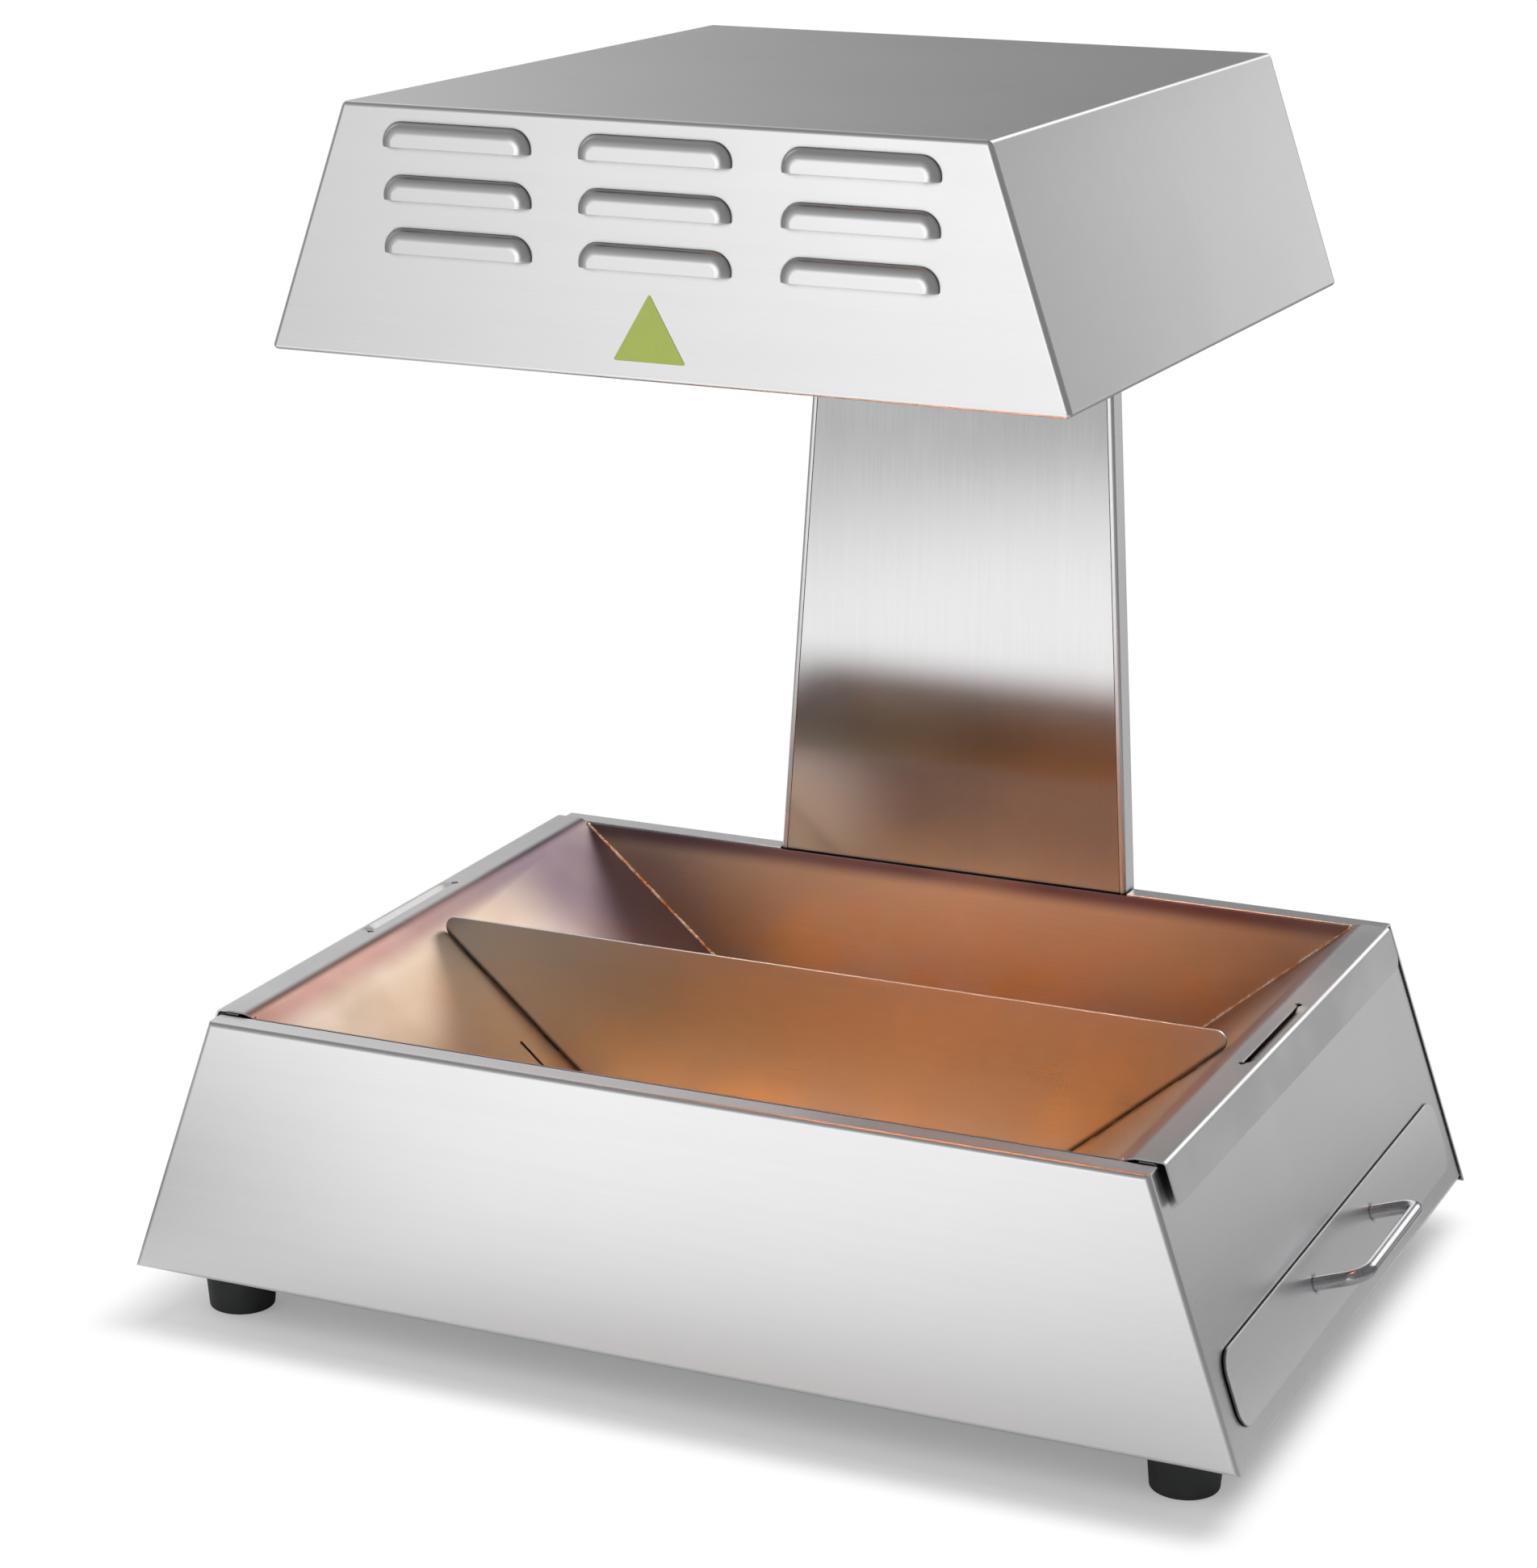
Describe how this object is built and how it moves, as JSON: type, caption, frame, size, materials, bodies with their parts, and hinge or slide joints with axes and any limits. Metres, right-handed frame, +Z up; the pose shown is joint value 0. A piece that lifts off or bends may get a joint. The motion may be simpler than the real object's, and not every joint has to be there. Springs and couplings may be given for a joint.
{
  "type": "chip warmer",
  "caption": "Counter-top chip warmer: heated, louvred hood on a tapered column over a lift-out sloping hopper with a divider and a crumb drawer.",
  "frame": {"origin": "on the table, midway between the four rubber feet", "axes": "+X to the operator's right, the side the drawer opens; +Y to the rear, where the column stands; +Z up"},
  "size_m": [0.6691, 0.4766, 0.693],
  "materials": {
    "brushed_panel": "horizontally brushed stainless sheet",
    "brushed_column": "vertically brushed stainless sheet",
    "hopper_steel": "satin stainless sheet",
    "galvanised_sheet": "galvanised inner sheet",
    "rubber_black": "matt moulded rubber",
    "zinc_fixings": "zinc-plated",
    "stainless_fixings": "plain stainless",
    "reflector_bright": "polished",
    "handle_bar": "polished stainless bar",
    "guard_wire": "plated wire",
    "quartz": "clear quartz",
    "heating_wire": "oxidised resistance wire",
    "ceramic": "unglazed steatite",
    "wire_sleeve": "woven glass sleeve",
    "terminal_plastic": "moulded nylon",
    "black_plastic": "moulded nylon"
  },
  "bodies": {
    "warmer_body": {"base_bottom_plate": "galvanised_sheet", "base_front_panel": "brushed_panel", "base_rear_panel": "brushed_panel", "base_side_panel_left": "brushed_panel", "base_side_panel_right": "brushed_panel", "base_terminal_block": "terminal_plastic", "cable_gland_body": "black_plastic", "cable_gland_dome": "black_plastic", "cable_gland_lock_nut": "black_plastic", "column_channel": "brushed_column", "column_foot_bolts": "zinc_fixings", "column_foot_bracket": "galvanised_sheet", "column_foot_nuts": "zinc_fixings", "column_front_cover": "brushed_column", "column_harness": "wire_sleeve", "column_head_bracket": "galvanised_sheet", "column_rear_cover": "brushed_column", "drawer_guide_front": "galvanised_sheet", "drawer_guide_rear": "galvanised_sheet", "foot_front_left": "rubber_black", "foot_front_right": "rubber_black", "foot_nuts": "zinc_fixings", "foot_rear_left": "rubber_black", "foot_rear_right": "rubber_black", "foot_screws": "zinc_fixings", "foot_washers": "zinc_fixings", "guard_frame": "guard_wire", "guard_wires": "guard_wire", "hanger_posts": "zinc_fixings", "heater_cap_front_left": "ceramic", "heater_cap_front_right": "ceramic", "heater_cap_rear_left": "ceramic", "heater_cap_rear_right": "ceramic", "heater_coil_front": "heating_wire", "heater_coil_rear": "heating_wire", "heater_lead_front_left": "wire_sleeve", "heater_lead_front_right": "wire_sleeve", "heater_lead_rear_left": "wire_sleeve", "heater_lead_rear_right": "wire_sleeve", "hood_shell": "brushed_panel", "hood_terminal_block": "terminal_plastic", "quartz_tube_front": "quartz", "quartz_tube_rear": "quartz", "rear_cover_nuts": "zinc_fixings", "rear_cover_screws": "stainless_fixings", "reflector": "reflector_bright", "reflector_end_left": "reflector_bright", "reflector_end_right": "reflector_bright", "switch_housing": "black_plastic", "switch_lead_left": "wire_sleeve", "switch_lead_right": "wire_sleeve"},
    "hopper_pan": {"hopper_pan": "hopper_steel"},
    "divider_plate": {"divider_plate": "hopper_steel"},
    "drawer": {"drawer_tray": "hopper_steel", "drawer_side_front": "hopper_steel", "drawer_side_rear": "hopper_steel", "drawer_front_plate": "brushed_panel", "drawer_handle": "handle_bar", "handle_screws": "stainless_fixings"},
    "switch_rocker": {"switch_rocker": "black_plastic"}
  },
  "joints": [
    {"name": "pan_lift", "type": "slide", "parent": "warmer_body", "child": "hopper_pan", "axis": [0, 0, 1], "range_m": [0, 0.13]},
    {"name": "divider_lift", "type": "slide", "parent": "hopper_pan", "child": "divider_plate", "axis": [0, 0, 1], "range_m": [0, 0.11]},
    {"name": "drawer_slide", "type": "slide", "parent": "warmer_body", "child": "drawer", "axis": [1, 0, 0], "range_m": [0, 0.45]},
    {"name": "switch_press", "type": "hinge", "parent": "warmer_body", "child": "switch_rocker", "pos_m": [-0.232, 0.2225, 0.132], "axis": [1, 0, 0], "range_deg": [-20, 0]}
  ]
}
